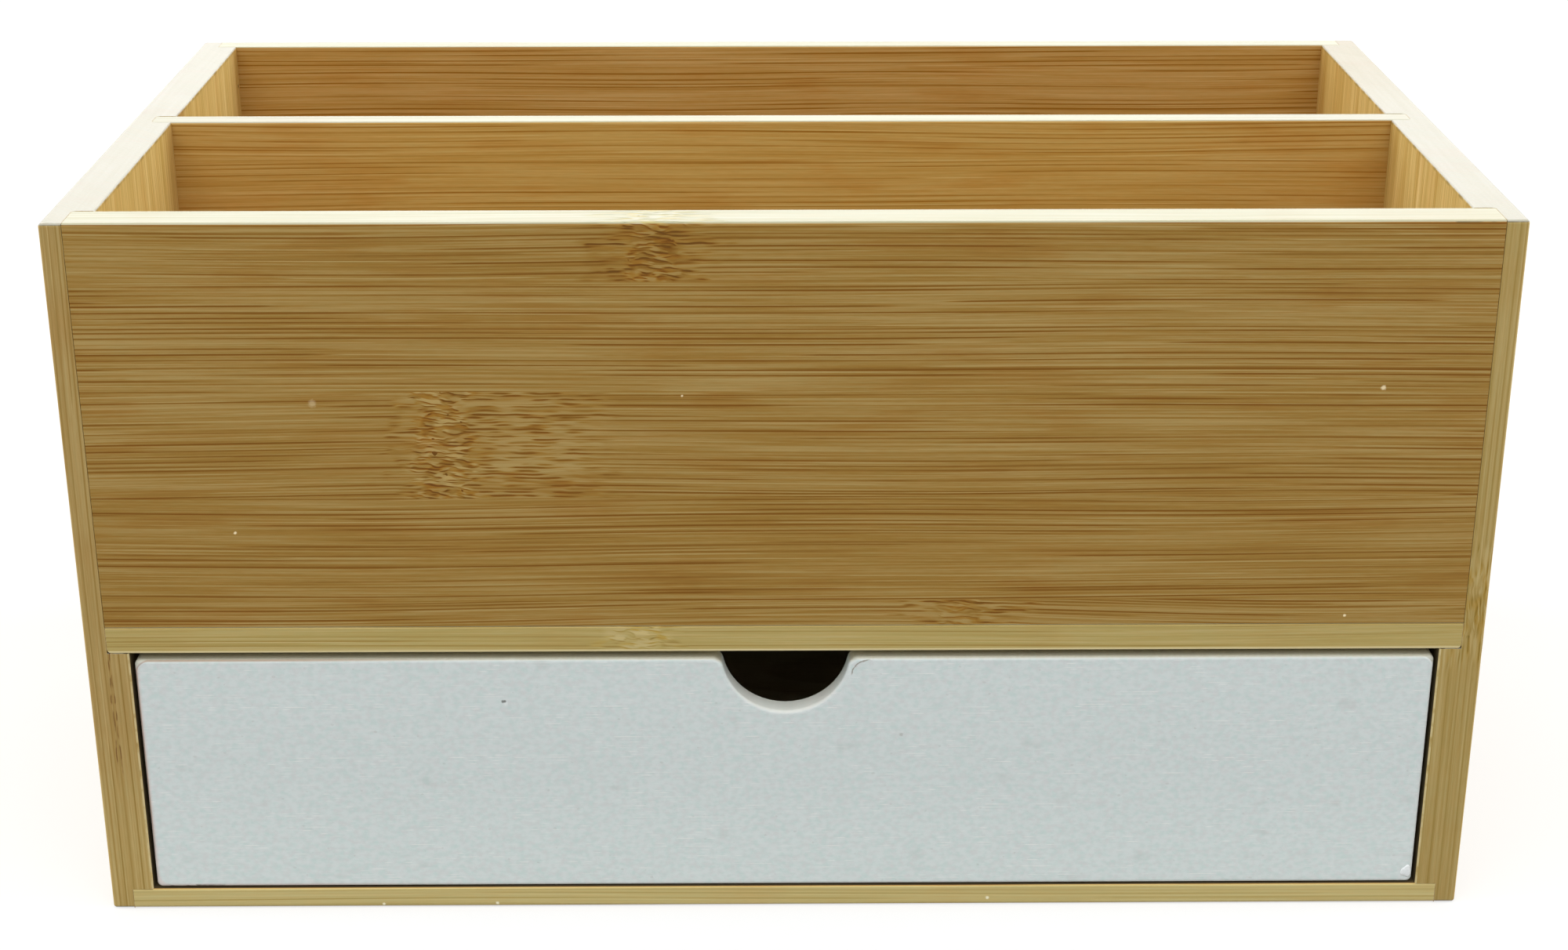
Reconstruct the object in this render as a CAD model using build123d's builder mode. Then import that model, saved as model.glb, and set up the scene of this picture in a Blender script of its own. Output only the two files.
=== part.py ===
"""Bamboo desk organizer: an open box with two compartments above one drawer. Millimetres.

Frame: origin at the centre of the underside, +X to the right, +Y to the back, +Z up.
The drawer opens towards -Y.
"""
import os

from build123d import *

# Case, outside
width = 250.0
depth = 140.0
height = 132.0

# Boards of the case
side_thickness = 7.8
front_thickness = 7.8
back_thickness = 5.0
divider_thickness = 5.0
shelf_thickness = 5.0
base_thickness = 4.0

# Joints of the case
housing_depth = 3.9        # how far the other boards are let into the sides
housing_radius = 1.0       # cutter's corner in a housing, and the board end that fits it
glue_gap = 0.1             # between a board's end and the bottom of its housing

# Eased edges
outer_radius = 0.6         # outside of the case
arris_radius = 0.4         # inside the case, and on the drawer's inner boards
seam_chamfer = 0.2         # where the front board meets the shelf's front edge

# Drawer
drawer_front_thickness = 4.5
drawer_side_thickness = 5.0
drawer_back_thickness = 5.0
drawer_bottom_thickness = 3.0
drawer_side_height = 44.0
drawer_front_rise = 2.7    # how far the front stands above the drawer's other boards
drawer_recess = 0.2        # front face behind the face of the case
drawer_side_gap = 0.7      # running clearance on each side
drawer_under_gap = 0.3     # running clearance below
drawer_top_gap = 1.4       # above the drawer front
drawer_rear_gap = 0.5      # behind the closed drawer
drawer_corner_radius = 1.0
drawer_edge_radius = 0.7

# Joints of the drawer
lap_depth = 2.0            # how far the sides are let into the front
back_lap_depth = 2.5       # how far the back is let into the sides
side_groove_depth = 2.5    # grooves for the bottom
end_groove_depth = 2.0
groove_lift = 3.0          # from the drawer's underside up to the grooves

# Finger notch in the drawer front
notch_radius = 11.5
notch_rise = 0.7           # its centre above the top edge
notch_corner_radius = 2.2

# The bay between base and shelf is as high as the drawer and its clearances
drawer_front_height = drawer_side_height + drawer_front_rise
bay_height = drawer_under_gap + drawer_front_height + drawer_top_gap

# Places of the case's boards
side_x = width / 2 - side_thickness            # inner face of a side
housing_x = side_x + housing_depth             # bottom of its housings
board_x = housing_x - glue_gap                 # end of a board that is let in
front_y = -depth / 2
back_y = depth / 2 - back_thickness            # front face of the back panel
shelf_z = base_thickness + bay_height
rim_z = shelf_z + shelf_thickness              # underside of front board and divider
compartment = (back_y - front_y - front_thickness - divider_thickness) / 2
divider_y = front_y + front_thickness + compartment

# Places of the drawer's boards
drawer_x = side_x - drawer_side_gap            # outer face of a drawer side
drawer_inner_x = drawer_x - drawer_side_thickness
drawer_front_y = front_y + drawer_recess
drawer_lap_y = drawer_front_y + drawer_front_thickness - lap_depth
drawer_end_y = back_y - drawer_rear_gap
drawer_back_y = drawer_end_y - drawer_back_thickness
drawer_back_x = drawer_inner_x + back_lap_depth - glue_gap
drawer_z = base_thickness + drawer_under_gap
groove_z = drawer_z + groove_lift

LOW = (Align.MIN, Align.MIN)
MIDDLE_LOW = (Align.CENTER, Align.MIN)

os.makedirs("parts", exist_ok=True)


# Left side: a plate eased on every edge, then housed on its inner face for the other boards.
with BuildPart() as left_side:
    with BuildSketch(Plane.YZ.offset(-width / 2)):
        with Locations((0, height / 2)):
            Rectangle(depth, height)
    extrude(amount=side_thickness)
    outer_edges = left_side.edges() - left_side.faces().sort_by(Axis.X)[-1].edges()
    fillet(outer_edges, outer_radius)
    fillet(left_side.faces().sort_by(Axis.X)[-1].edges(), arris_radius)

    # Stopped rebate for the front board, from the shelf's underside to the rim
    with BuildSketch(Plane.XY.offset(shelf_z)) as front_rebate:
        with Locations((-housing_x, front_y)):
            Rectangle(housing_depth, front_thickness, align=LOW)
        fillet(front_rebate.vertices().group_by(Axis.X)[0].sort_by(Axis.Y)[-1], housing_radius)
    extrude(amount=height - shelf_z, mode=Mode.SUBTRACT)

    # Housing for the divider
    with BuildSketch(Plane.XY.offset(shelf_z)) as divider_housing:
        with Locations((-housing_x, divider_y)):
            Rectangle(housing_depth, divider_thickness, align=LOW)
        fillet(divider_housing.vertices().group_by(Axis.X)[0], housing_radius)
    extrude(amount=height - shelf_z, mode=Mode.SUBTRACT)

    # Housing for the shelf
    with BuildSketch(Plane.XZ.offset(-back_y)) as shelf_housing:
        with Locations((-housing_x, shelf_z)):
            Rectangle(housing_depth, shelf_thickness, align=LOW)
        fillet(shelf_housing.vertices().group_by(Axis.X)[0].sort_by(Axis.Y)[0], housing_radius)
    extrude(amount=back_y - front_y, mode=Mode.SUBTRACT)

    # Rebates for the base and the back
    with BuildSketch(Plane.XZ.offset(-back_y)):
        with Locations((-housing_x, 0)):
            Rectangle(housing_depth, base_thickness, align=LOW)
    extrude(amount=back_y - front_y, mode=Mode.SUBTRACT)
    with BuildSketch():
        with Locations((-housing_x, back_y)):
            Rectangle(housing_depth, back_thickness, align=LOW)
    extrude(amount=height, mode=Mode.SUBTRACT)
left_side.part.label = "left_side"
export_step(left_side.part, "parts/left_side.step")


with BuildPart() as right_side:
    mirror(left_side.part, about=Plane.YZ)
right_side.part.label = "right_side"
export_step(right_side.part, "parts/right_side.step")


# Front board: its ends are rounded at the back to fit the cutter's corner of the rebate.
with BuildPart() as front_panel:
    with BuildSketch(Plane.XY.offset(rim_z)) as front_plan:
        with Locations((0, front_y)):
            Rectangle(2 * board_x, front_thickness, align=MIDDLE_LOW)
        fillet(front_plan.vertices().group_by(Axis.Y)[-1], housing_radius)
    extrude(amount=height - rim_z)
    with BuildSketch(Plane.YZ.offset(-board_x)) as front_section:
        with Locations((front_y, rim_z)):
            Rectangle(front_thickness, height - rim_z, align=LOW)
        fillet(front_section.vertices().group_by(Axis.Y)[-1].sort_by(Axis.X)[0], outer_radius)
        fillet(front_section.vertices().group_by(Axis.Y)[-1].sort_by(Axis.X)[-1], arris_radius)
        chamfer(front_section.vertices().group_by(Axis.Y)[0].sort_by(Axis.X)[0], seam_chamfer)
    extrude(amount=2 * board_x, mode=Mode.INTERSECT)
front_panel.part.label = "front_panel"
export_step(front_panel.part, "parts/front_panel.step")


with BuildPart() as divider:
    with BuildSketch(Plane.XY.offset(rim_z)) as divider_plan:
        with Locations((0, divider_y)):
            Rectangle(2 * board_x, divider_thickness, align=MIDDLE_LOW)
        fillet(divider_plan.vertices(), housing_radius)
    extrude(amount=height - rim_z)
    with BuildSketch(Plane.YZ.offset(-board_x)) as divider_section:
        with Locations((divider_y, rim_z)):
            Rectangle(divider_thickness, height - rim_z, align=LOW)
        fillet(divider_section.vertices().group_by(Axis.Y)[-1], arris_radius)
    extrude(amount=2 * board_x, mode=Mode.INTERSECT)
divider.part.label = "divider"
export_step(divider.part, "parts/divider.step")


with BuildPart() as back_panel:
    with BuildSketch(Plane.YZ.offset(-board_x)) as back_section:
        with Locations((back_y, 0)):
            Rectangle(back_thickness, height, align=LOW)
        fillet(back_section.vertices().group_by(Axis.X)[-1], outer_radius)
        fillet(back_section.vertices().group_by(Axis.Y)[-1].sort_by(Axis.X)[0], arris_radius)
    extrude(amount=2 * board_x)
back_panel.part.label = "back_panel"
export_step(back_panel.part, "parts/back_panel.step")


# Shelf: its lower end edges are rounded to fit their housings, and its front edge shows.
with BuildPart() as shelf:
    with BuildSketch(Plane.XZ.offset(-back_y)) as shelf_elevation:
        with Locations((0, shelf_z)):
            Rectangle(2 * board_x, shelf_thickness, align=MIDDLE_LOW)
        fillet(shelf_elevation.vertices().group_by(Axis.Y)[0], housing_radius)
    extrude(amount=back_y - front_y)
    with BuildSketch(Plane.YZ.offset(-board_x)) as shelf_section:
        with Locations((front_y, shelf_z)):
            Rectangle(back_y - front_y, shelf_thickness, align=LOW)
        fillet(shelf_section.vertices().group_by(Axis.X)[0].sort_by(Axis.Y)[0], arris_radius)
        chamfer(shelf_section.vertices().group_by(Axis.X)[0].sort_by(Axis.Y)[-1], seam_chamfer)
    extrude(amount=2 * board_x, mode=Mode.INTERSECT)
shelf.part.label = "shelf"
export_step(shelf.part, "parts/shelf.step")


with BuildPart() as base:
    with BuildSketch(Plane.YZ.offset(-board_x)) as base_section:
        with Locations((front_y, 0)):
            Rectangle(back_y - front_y, base_thickness, align=LOW)
        fillet(base_section.vertices().group_by(Axis.X)[0].sort_by(Axis.Y)[0], outer_radius)
        fillet(base_section.vertices().group_by(Axis.X)[0].sort_by(Axis.Y)[-1], arris_radius)
    extrude(amount=2 * board_x)
base.part.label = "base"
export_step(base.part, "parts/base.step")


# Drawer front: a board with a half-round notch, eased all round on both faces.
with BuildPart() as drawer_front:
    with BuildSketch(Plane.XZ.offset(-drawer_front_y)) as front_face:
        with Locations((0, drawer_z + drawer_front_height / 2)):
            RectangleRounded(2 * drawer_x, drawer_front_height, drawer_corner_radius)
        with Locations((0, drawer_z + drawer_front_height + notch_rise)):
            Circle(notch_radius, mode=Mode.SUBTRACT)
        notch_corners = front_face.vertices().filter_by_position(Axis.X, -notch_radius, notch_radius)
        fillet(notch_corners, notch_corner_radius)
    extrude(amount=-drawer_front_thickness)
    fillet(drawer_front.faces().sort_by(Axis.Y)[0].edges(), drawer_edge_radius)
    fillet(drawer_front.faces().sort_by(Axis.Y)[-1].edges(), arris_radius)

    # Rebates for the drawer sides, as high as they are
    with BuildSketch(Plane.XZ.offset(-drawer_lap_y)):
        with Locations((-drawer_x, drawer_z), (drawer_inner_x, drawer_z)):
            Rectangle(drawer_side_thickness, drawer_side_height, align=LOW)
    extrude(amount=-lap_depth, mode=Mode.SUBTRACT)

    # Groove for the drawer bottom
    with BuildSketch(Plane.XZ.offset(-drawer_front_y - drawer_front_thickness)):
        with Locations((0, groove_z)):
            Rectangle(2 * drawer_inner_x, drawer_bottom_thickness, align=MIDDLE_LOW)
    extrude(amount=end_groove_depth, mode=Mode.SUBTRACT)
drawer_front.part.label = "drawer_front"
export_step(drawer_front.part, "parts/drawer_front.step")


# Drawer sides: grooved for the bottom, and rebated at the rear for the back.
with BuildPart() as drawer_left_side:
    with BuildSketch(Plane.XZ.offset(-drawer_lap_y)) as drawer_side_section:
        with Locations((-drawer_x, drawer_z)):
            Rectangle(drawer_side_thickness, drawer_side_height, align=LOW)
        fillet(drawer_side_section.vertices(), arris_radius)
        with Locations((-drawer_inner_x, groove_z)):
            Rectangle(
                side_groove_depth,
                drawer_bottom_thickness,
                align=(Align.MAX, Align.MIN),
                mode=Mode.SUBTRACT,
            )
    extrude(amount=drawer_lap_y - drawer_end_y)
    with BuildSketch(Plane.XY.offset(drawer_z)):
        with Locations((-drawer_inner_x, drawer_back_y)):
            Rectangle(back_lap_depth, drawer_back_thickness, align=(Align.MAX, Align.MIN))
    extrude(amount=drawer_side_height, mode=Mode.SUBTRACT)
drawer_left_side.part.label = "drawer_left_side"
export_step(drawer_left_side.part, "parts/drawer_left_side.step")


with BuildPart() as drawer_right_side:
    mirror(drawer_left_side.part, about=Plane.YZ)
drawer_right_side.part.label = "drawer_right_side"
export_step(drawer_right_side.part, "parts/drawer_right_side.step")


with BuildPart() as drawer_back:
    with BuildSketch(Plane.YZ.offset(-drawer_back_x)) as drawer_back_section:
        with Locations((drawer_back_y, drawer_z)):
            Rectangle(drawer_back_thickness, drawer_side_height, align=LOW)
        fillet(drawer_back_section.vertices(), arris_radius)
        with Locations((drawer_back_y, groove_z)):
            Rectangle(end_groove_depth, drawer_bottom_thickness, align=LOW, mode=Mode.SUBTRACT)
    extrude(amount=2 * drawer_back_x)
drawer_back.part.label = "drawer_back"
export_step(drawer_back.part, "parts/drawer_back.step")


# Drawer bottom: reaches into the grooves of the front, the sides and the back.
bottom_front_y = drawer_front_y + drawer_front_thickness - end_groove_depth + glue_gap
bottom_rear_y = drawer_back_y + end_groove_depth - glue_gap
with BuildPart() as drawer_bottom:
    with BuildSketch(Plane.XY.offset(groove_z)):
        with Locations((0, bottom_front_y)):
            Rectangle(
                2 * (drawer_inner_x + side_groove_depth - glue_gap),
                bottom_rear_y - bottom_front_y,
                align=MIDDLE_LOW,
            )
    extrude(amount=drawer_bottom_thickness)
drawer_bottom.part.label = "drawer_bottom"
export_step(drawer_bottom.part, "parts/drawer_bottom.step")
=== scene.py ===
"""Looks of the bamboo desk organizer: bamboo, ply and paint, small marks, floor, light and camera."""
import math

import bmesh
import bpy
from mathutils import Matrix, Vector


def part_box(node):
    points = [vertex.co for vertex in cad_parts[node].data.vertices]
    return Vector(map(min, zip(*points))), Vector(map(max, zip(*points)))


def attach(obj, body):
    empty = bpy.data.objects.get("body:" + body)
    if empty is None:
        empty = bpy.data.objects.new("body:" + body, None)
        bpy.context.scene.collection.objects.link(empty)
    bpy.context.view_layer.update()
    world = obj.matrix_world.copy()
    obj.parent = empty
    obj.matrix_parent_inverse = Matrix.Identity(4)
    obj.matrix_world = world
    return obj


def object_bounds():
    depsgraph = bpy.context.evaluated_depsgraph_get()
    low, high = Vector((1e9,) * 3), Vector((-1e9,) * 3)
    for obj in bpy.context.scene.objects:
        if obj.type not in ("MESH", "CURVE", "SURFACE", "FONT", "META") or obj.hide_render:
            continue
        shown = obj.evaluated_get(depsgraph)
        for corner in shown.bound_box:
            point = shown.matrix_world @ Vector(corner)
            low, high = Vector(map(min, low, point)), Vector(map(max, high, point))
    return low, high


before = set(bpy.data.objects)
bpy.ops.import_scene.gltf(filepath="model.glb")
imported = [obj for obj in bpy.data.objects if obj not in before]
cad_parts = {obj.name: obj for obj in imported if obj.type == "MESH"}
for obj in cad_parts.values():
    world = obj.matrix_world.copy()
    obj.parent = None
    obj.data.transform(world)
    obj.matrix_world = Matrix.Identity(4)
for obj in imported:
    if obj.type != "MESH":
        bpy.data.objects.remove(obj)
cad_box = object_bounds()

MM = 0.001               # the shaders and the small pieces are written in millimetres
AXES = "XYZ"

# Camera, solved from the perspective of the case's edges
CAMERA_PLACE = (-0.0039, -0.4849, 0.2532)
CAMERA_PITCH = 21.9      # degrees below the horizon
CAMERA_YAW = 0.5         # degrees to the right of +Y
CAMERA_LENS = 59.04      # in millimetres, as is the sensor
SENSOR_WIDTH = 36.0

# Studio
WHITE = (1.0, 1.0, 1.0, 1.0)
SKY_STRENGTH = 0.3       # even light from the white studio
FLOOR_WHITENESS = 0.35
FLOOR_GLOW = 0.6         # seen by the camera and in reflections alone
FLOOR_HALF = 4.0         # half the length of its sides, in metres
FLOOR_GAP = 0.0001       # how far it lies below the object

# Places on the case, in millimetres
CASE_FRONT = cad_box[0].y / MM
CASE_TOP = cad_box[1].z / MM
SIDE_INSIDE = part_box("right_side")[0].x / MM
BAY_LOW = (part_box("base")[1] / MM).z
BAY_HIGH = (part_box("shelf")[0] / MM).z

# Bamboo strips that are glued side by side into a board
STRIP_WIDTH = 19.75
SEAM_WIDTH = 0.15

RAMP_MARGIN = 0.15       # share of a colour ramp that lies beyond each of a tone's ends

# The arris of the drawer's painted face has rounder corners than the board
PAINT_INSET = 0.10
PAINT_RADIUS = 2.4

# A hairline in the paint beside the notch, on the plane of X and Z
SPLIT_CENTRE = (14.9, 47.5)
SPLIT_RADIUS = 3.0

# Glue in the joints of the boards
BOARD_END = (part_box("front_panel")[1] / MM).x
JOINT_CORNER = 1.0       # radius of a board end's rounded corners
GLUE_GAP = 0.1
GLUE_SUNK = 0.03         # how far the glue's face lies below the wood
GLUE_DEPTH = 0.8
ARRIS = 0.7              # eased edge of a board, where the glue stops

# Thin lines along the grain: how far apart their rows lie, how wide and long they are, in millimetres,
# and the share of them that shows
BOLD_STREAKS = dict(spacing=2.15, width=0.50, length=95.0, share=0.45)
MAIN_STREAKS = dict(spacing=0.98, width=0.38, length=80.0, share=0.72)
PALE_LINES = dict(spacing=1.10, width=0.28, length=40.0, share=0.50)
KNOT_DASHES = dict(spacing=0.66, width=0.46, length=4.4, share=0.95, taper=0.30)
KNOT_BARS = dict(spacing=1.50, width=0.60, length=7.0, share=0.60, taper=0.25)
HEART_STROKES = dict(spacing=0.80, width=0.50, length=3.4, share=0.70, taper=0.24)
PAINTED_FIBRES = dict(spacing=0.62, width=0.22, length=2.3, share=0.62, taper=0.22)
PLY_PORES = dict(spacing=1.4, width=0.22, length=5.0, share=0.25)


def linear(red, green, blue):
    """A colour as 0 to 255 values, turned into the linear one that shaders take."""
    def one(value):
        share = value / 255
        return share / 12.92 if share <= 0.04045 else ((share + 0.055) / 1.055) ** 2.4
    return (one(red), one(green), one(blue), 1.0)


class Tone:
    """The colours of one surface of wood, from its darkest streaks to its palest lines."""

    def __init__(self, deep, middle, pale):
        self.deep = linear(*deep)
        self.middle = linear(*middle)
        self.pale = linear(*pale)


FRONT_TONE = Tone((124, 78, 0), (156, 118, 48), (178, 148, 87))
DIVIDER_TONE = Tone((159, 108, 31), (192, 148, 71), (211, 176, 105))
BACK_TONE = Tone((143, 94, 20), (175, 132, 64), (193, 156, 96))
SIDE_TONE = Tone((181, 146, 66), (206, 174, 101), (231, 202, 134))
LEFT_EDGE_TONE = Tone((144, 112, 44), (170, 138, 76), (194, 167, 109))
RIGHT_EDGE_TONE = Tone((150, 122, 50), (174, 146, 82), (196, 172, 114))
SHELF_EDGE_TONE = Tone((165, 137, 69), (184, 161, 94), (200, 178, 119))
BASE_EDGE_TONE = Tone((186, 162, 94), (203, 181, 116), (213, 194, 132))
# the next two tones are the paler grain of edges and sawn ends, made paler still as painted light for the
# brightly lit tops
TOP_TONE = Tone((172, 168, 130), (184, 178, 146), (192, 188, 164))
SIDE_TOP_TONE = Tone((168, 162, 138), (178, 172, 153), (184, 179, 165))
DRAWER_TONE = Tone((172, 152, 116), (208, 192, 156), (227, 215, 184))
DRAWER_EDGE_TONE = Tone((160, 138, 98), (196, 176, 134), (216, 200, 162))
PLY_TONE = Tone((184, 162, 130), (218, 205, 178), (233, 223, 202))

# Factors that tint the bamboo
BLUSH = (1.04, 0.97, 0.98, 1.0)
COOL_TINGE = (0.97, 1.015, 1.06, 1.0)
AMBER = (1.10, 0.98, 0.62, 1.0)
WORN_SIDE = (0.90, 0.84, 0.74, 1.0)
PALE_FOOT = (1.16, 1.22, 1.28, 1.0)
# painted shade, darker towards the divider's ends
SHADED_ENDS = (0.94, 0.93, 0.99, 1.0)
# painted shade: the next two factors darken the inner corners of the sides
LEFT_CORNER_SHADE = (0.66, 0.56, 0.44, 1.0)
RIGHT_CORNER_SHADE = (0.78, 0.72, 0.62, 1.0)

# Marks on the bamboo
FLECK = linear(252, 232, 186)
BASE_FLECK = linear(255, 248, 214)
PINHOLE = linear(60, 40, 16)
CRACK = linear(112, 70, 20)
# a pale sanded arris, made paler still as a painted highlight
EASED_ARRIS_HIGHLIGHT = linear(238, 222, 170)
# the next two colours paint the drawer's bay: raw grey wood darkened also as painted shade, and painted
# shade in its mouth
RAW_WOOD_AND_SHADE = linear(146, 140, 120)
MOUTH_SHADE = linear(62, 48, 26)
TORN_FIBRES = linear(222, 206, 156)
TORN_SHADOW = linear(122, 100, 40)
# painted shade along the front arris of the rim
BROW_SHADE = linear(84, 74, 40)

# The drawer's paint, from its mottling to its marks
PAINT_COOL = linear(207, 222, 219)
PAINT_WARM = linear(215, 220, 219)
PAINT_CLOUD = linear(223, 231, 230)
PAINT_BRUSHED = linear(226, 234, 232)
PAINT_FIBRE = linear(241, 243, 240)
PAINT_SMUDGE = linear(172, 172, 166)
# worn paint on the top, darkened also as painted shade under the shelf
PAINT_WORN_AND_SHADED = linear(187, 181, 156)
PAINT_NOTCH = linear(224, 226, 219)
PAINT_SPLIT = linear(138, 130, 116)
PAINT_THIN = linear(222, 184, 176)
PAINT_BARE = linear(172, 140, 118)
# a painted highlight along the arris of the drawer front
PAINT_ARRIS_HIGHLIGHT = linear(242, 245, 243)
PAINT_CHIPPED = linear(96, 78, 66)
PIT = linear(70, 66, 58)
PIT_LIP = linear(236, 241, 240)
DOT = linear(196, 200, 196)

# Factors that tint the paint
# painted light: the paint lighter towards the drawer front's foot
PAINT_FOOT_LIGHT = (1.055, 1.06, 1.055, 1.0)
# painted shade on the notch's rim
PAINT_RIM_SHADE = (0.92, 0.91, 0.91, 1.0)

# Glue, and the drop of paint
GLUE_DARK = linear(150, 122, 74)
GLUE_PALE = linear(190, 168, 124)
DROP_DARK = linear(232, 238, 238)
DROP_PALE = linear(246, 249, 249)


# ---------------------------------------------------------------- shader graphs

class Number:
    """A number inside a shader. Sums and products of Numbers add Math nodes."""

    def __init__(self, graph, socket):
        self.graph = graph
        self.socket = socket

    def __add__(self, other):
        return self.graph.math("ADD", self, other)

    def __sub__(self, other):
        return self.graph.math("SUBTRACT", self, other)

    def __rsub__(self, other):
        return self.graph.math("SUBTRACT", other, self)

    def __mul__(self, other):
        return self.graph.math("MULTIPLY", self, other)

    def __truediv__(self, other):
        return self.graph.math("DIVIDE", self, other)

    def __abs__(self):
        return self.graph.math("ABSOLUTE", self)

    __radd__ = __add__
    __rmul__ = __mul__


class Graph:
    """The node tree of one material, written as formulas over places in millimetres."""

    def __init__(self, name):
        self.material = bpy.data.materials.new(name)
        self.material.use_nodes = True
        self.nodes = self.material.node_tree.nodes
        self.links = self.material.node_tree.links
        self.nodes.clear()
        coordinates = self.nodes.new("ShaderNodeTexCoord")
        place = self.split(coordinates.outputs["Object"])
        facing = self.split(coordinates.outputs["Normal"])
        self.place = {axis: part * (1 / MM) for axis, part in zip(AXES, place)}
        self.facing = {axis: abs(part) for axis, part in zip(AXES, facing)}

    def places(self):
        """x, y and z in millimetres."""
        return [self.place[axis] for axis in AXES]

    def feed(self, socket, value):
        if isinstance(value, Number):
            self.links.new(value.socket, socket)
        elif isinstance(value, bpy.types.NodeSocket):
            self.links.new(value, socket)
        else:
            socket.default_value = value

    def split(self, vector):
        node = self.nodes.new("ShaderNodeSeparateXYZ")
        self.links.new(vector, node.inputs[0])
        return [Number(self, output) for output in node.outputs]

    def math(self, operation, *values, clamp=False):
        node = self.nodes.new("ShaderNodeMath")
        node.operation = operation
        node.use_clamp = clamp
        for socket, value in zip(node.inputs, values):
            self.feed(socket, value)
        return Number(self, node.outputs[0])

    def floor(self, value):
        return self.math("FLOOR", value)

    def most(self, first, *others):
        for other in others:
            first = self.math("MAXIMUM", first, other)
        return first

    def distance(self, first, second):
        """How far a point lies from the origin, from its two coordinates."""
        return self.math("SQRT", first * first + second * second)

    def smooth(self, value, low, high):
        """0 below low, 1 above high, and a smooth step between them."""
        node = self.nodes.new("ShaderNodeMapRange")
        node.interpolation_type = "SMOOTHSTEP"
        self.feed(node.inputs["Value"], value)
        self.feed(node.inputs["From Min"], low)
        self.feed(node.inputs["From Max"], high)
        return Number(self, node.outputs[0])

    def within(self, value, low, high, edge):
        """1 where value lies from low to high, with borders as soft as edge."""
        return self.smooth(value, low - edge, low) * (1 - self.smooth(value, high, high + edge))

    def random(self, seed):
        """Three chance numbers from 0 to 1 that stay the same for the same seed."""
        node = self.nodes.new("ShaderNodeTexWhiteNoise")
        node.noise_dimensions = "1D"
        self.feed(node.inputs["W"], seed)
        return self.split(node.outputs["Color"])

    def noise(self, x, y=0.0, z=0.0, detail=1.0):
        """Smooth noise about 0.5, with one bump to each unit of x, y and z."""
        place = self.nodes.new("ShaderNodeCombineXYZ")
        for socket, value in zip(place.inputs, (x, y, z)):
            self.feed(socket, value)
        node = self.nodes.new("ShaderNodeTexNoise")
        node.inputs["Scale"].default_value = 1.0
        node.inputs["Detail"].default_value = detail
        self.links.new(place.outputs[0], node.inputs["Vector"])
        return Number(self, node.outputs["Fac"])

    def mix(self, share, first, second, blend="MIX"):
        """The colour first where share is 0, second where it is 1."""
        node = self.nodes.new("ShaderNodeMix")
        node.data_type = "RGBA"
        node.blend_type = blend
        self.feed(node.inputs[0], share)
        self.feed(node.inputs[6], first)
        self.feed(node.inputs[7], second)
        return node.outputs[2]

    def tint(self, share, colour, factors):
        """The colour, multiplied by the factors where share is 1."""
        return self.mix(share, colour, factors, blend="MULTIPLY")

    def bump(self, height, depth, strength):
        """A normal for a relief of the given depth in millimetres."""
        node = self.nodes.new("ShaderNodeBump")
        node.inputs["Distance"].default_value = depth * MM
        node.inputs["Strength"].default_value = strength
        self.feed(node.inputs["Height"], height)
        return node.outputs[0]

    def ramp(self, value, tone):
        """A tone's colours over values from 0 to 1, and a little deeper and paler beyond them."""
        node = self.nodes.new("ShaderNodeValToRGB")
        stops = node.color_ramp.elements
        stops[0].color = [part * 0.72 for part in tone.deep[:3]] + [1.0]
        stops[1].color = [part * 1.18 for part in tone.pale[:3]] + [1.0]
        for value_at_stop, colour in ((0.0, tone.deep), (0.58, tone.middle), (1.0, tone.pale)):
            stops.new(RAMP_MARGIN + value_at_stop * (1 - 2 * RAMP_MARGIN)).color = colour
        self.feed(node.inputs[0], value * (1 - 2 * RAMP_MARGIN) + RAMP_MARGIN)
        return node.outputs[0]

    def finish(self, colour, roughness, normal, ior):
        shader = self.nodes.new("ShaderNodeBsdfPrincipled")
        self.feed(shader.inputs["Base Color"], colour)
        self.feed(shader.inputs["Roughness"], roughness)
        self.feed(shader.inputs["Normal"], normal)
        shader.inputs["IOR"].default_value = ior
        output = self.nodes.new("ShaderNodeOutputMaterial")
        self.links.new(shader.outputs[0], output.inputs["Surface"])
        return self.material


def streaks(graph, along, across, seed, spacing, width, length, share, taper=0.09):
    """Thin lines along the grain, one to a row, that come and go with pointed ends."""
    place = across / spacing + seed
    row = graph.floor(place)
    sideways, longer, darker = graph.random(row + seed)
    life = graph.noise(along / length + sideways * 61, row * 3.7, seed, detail=0.0)
    start = 0.66 - share * 0.3
    strength = graph.smooth(life + (longer - 0.5) * 0.1, start, start + taper)
    off = abs(place - row - 0.5 - (sideways - 0.5) * 0.5) * (spacing / width * 2)
    line = 1 - graph.smooth(off / (strength * 0.5 + 0.5), 0.4, 1.0)
    return strength * line * (darker * 0.6 + 0.4)


# ---------------------------------------------------------------- bamboo

class Knot:
    """A node of the culm, which crosses one strip and breaks its streaks into short dashes."""

    def __init__(self, along, low, high, before, after, heart=5.5, flaky=1.0, stain=0.0):
        self.along = along
        self.low = low
        self.high = high
        self.before = before    # how far the dashes reach on each side
        self.after = after
        self.heart = heart      # half the length of the flaky middle
        self.flaky = flaky      # how strongly the middle shows
        self.stain = stain      # how brown the wood around it is


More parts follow.
